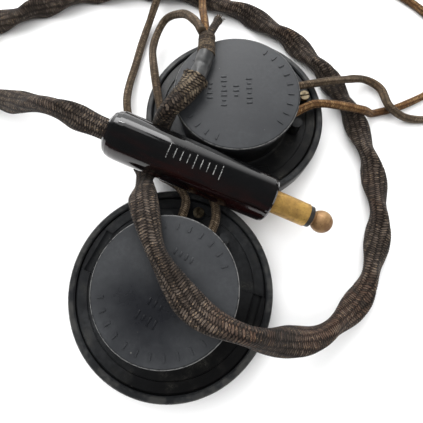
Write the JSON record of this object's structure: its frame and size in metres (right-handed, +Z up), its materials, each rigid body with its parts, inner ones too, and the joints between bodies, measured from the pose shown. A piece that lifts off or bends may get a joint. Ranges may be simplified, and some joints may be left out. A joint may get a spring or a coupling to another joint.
{
  "type": "headset receiver set",
  "caption": "Pair of black moulded earphone receivers with screw-on ear caps, cloth-covered leads, braided cord and phone plug.",
  "frame": {"origin": "on the table, in the middle of the box round the two receivers, without the cords and the plug", "axes": "+Z up, away from the ear caps; +Y from the lower receiver towards the upper one along the pair's box; +X to the picture's right"},
  "size_m": [0.1814, 0.1539, 0.029],
  "materials": {
    "phenolic": "satin moulded phenolic",
    "fibre": "matt vulcanised fibre",
    "iron": "dull lacquered iron",
    "magnet": "matt",
    "bobbin": "matt",
    "copper": "enamelled wire",
    "screw": "nickel plated, worn",
    "terminal_brass": "dull",
    "shell": "polished",
    "contact_brass": "tarnished satin",
    "ring_black": "satin",
    "cord_braid": "woven cotton braid",
    "sleeving": "varnished tube",
    "thread": "wound thread",
    "lead_olive": "fine cotton braid",
    "lead_brown": "fine cotton braid"
  },
  "bodies": {
    "set": {"lower_housing": "phenolic", "lower_diaphragm": "iron", "lower_magnet": "magnet", "lower_pole_pieces": "iron", "lower_coil_bobbins": "bobbin", "lower_coil_windings": "copper", "lower_magnet_screws": "screw", "lower_terminal_plates": "terminal_brass", "lower_terminal_screws": "screw", "lower_anchor_screw": "screw", "lower_lead_tips": "terminal_brass", "upper_housing": "phenolic", "upper_diaphragm": "iron", "upper_magnet": "magnet", "upper_pole_pieces": "iron", "upper_coil_bobbins": "bobbin", "upper_coil_windings": "copper", "upper_magnet_screws": "screw", "upper_terminal_plates": "terminal_brass", "upper_terminal_screws": "screw", "upper_anchor_screw": "screw", "upper_lead_tips": "terminal_brass", "plug_sleeve": "contact_brass", "plug_ring": "ring_black", "plug_insulator": "fibre", "plug_tip": "contact_brass", "plug_terminals": "terminal_brass", "plug_screws": "screw", "plug_binding": "thread", "main_cord": "cord_braid", "junction_braid": "cord_braid", "junction_sleeving": "sleeving", "junction_whipping": "thread", "junction_stub": "thread", "near_lead": "lead_olive", "jumper_lead": "lead_olive", "far_lead": "lead_brown"},
    "lower_gasket_carrier": {"lower_gasket": "fibre"},
    "lower_cap": {"lower_ear_cap": "phenolic"},
    "upper_gasket_carrier": {"upper_gasket": "fibre"},
    "upper_cap": {"upper_ear_cap": "phenolic"},
    "plug_washer_carrier": {"plug_washer": "fibre"},
    "plug_shell": {"plug_shell": "shell"}
  },
  "joints": [
    {"name": "lower_cap_travel", "type": "slide", "parent": "set", "child": "lower_gasket_carrier", "axis": [0, 0, -1], "range_m": [0, 0.00381]},
    {"name": "lower_cap_turn", "type": "hinge", "parent": "lower_gasket_carrier", "child": "lower_cap", "pos_m": [-0.009, -0.0263, 0], "axis": [0, 0, -1], "range_deg": [0, 1080]},
    {"name": "upper_cap_travel", "type": "slide", "parent": "set", "child": "upper_gasket_carrier", "axis": [0, 0, -1], "range_m": [0, 0.00381]},
    {"name": "upper_cap_turn", "type": "hinge", "parent": "upper_gasket_carrier", "child": "upper_cap", "pos_m": [0.009, 0.0263, 0], "axis": [0, 0, -1], "range_deg": [0, 1080]},
    {"name": "shell_travel", "type": "slide", "parent": "set", "child": "plug_washer_carrier", "axis": [-0.9167, 0.3464, 0.1994], "range_m": [0, 0.0053]},
    {"name": "shell_turn", "type": "hinge", "parent": "plug_washer_carrier", "child": "plug_shell", "pos_m": [0.0176, -0.0033, 0.0141], "axis": [-0.9167, 0.3464, 0.1994], "range_deg": [0, 1800]}
  ],
  "couplings": [
    {"joint": "lower_cap_travel", "follows": "lower_cap_turn", "m_per_rad": 0.00020213},
    {"joint": "upper_cap_travel", "follows": "upper_cap_turn", "m_per_rad": 0.00020213},
    {"joint": "shell_travel", "follows": "shell_turn", "m_per_rad": 0.0001687}
  ]
}
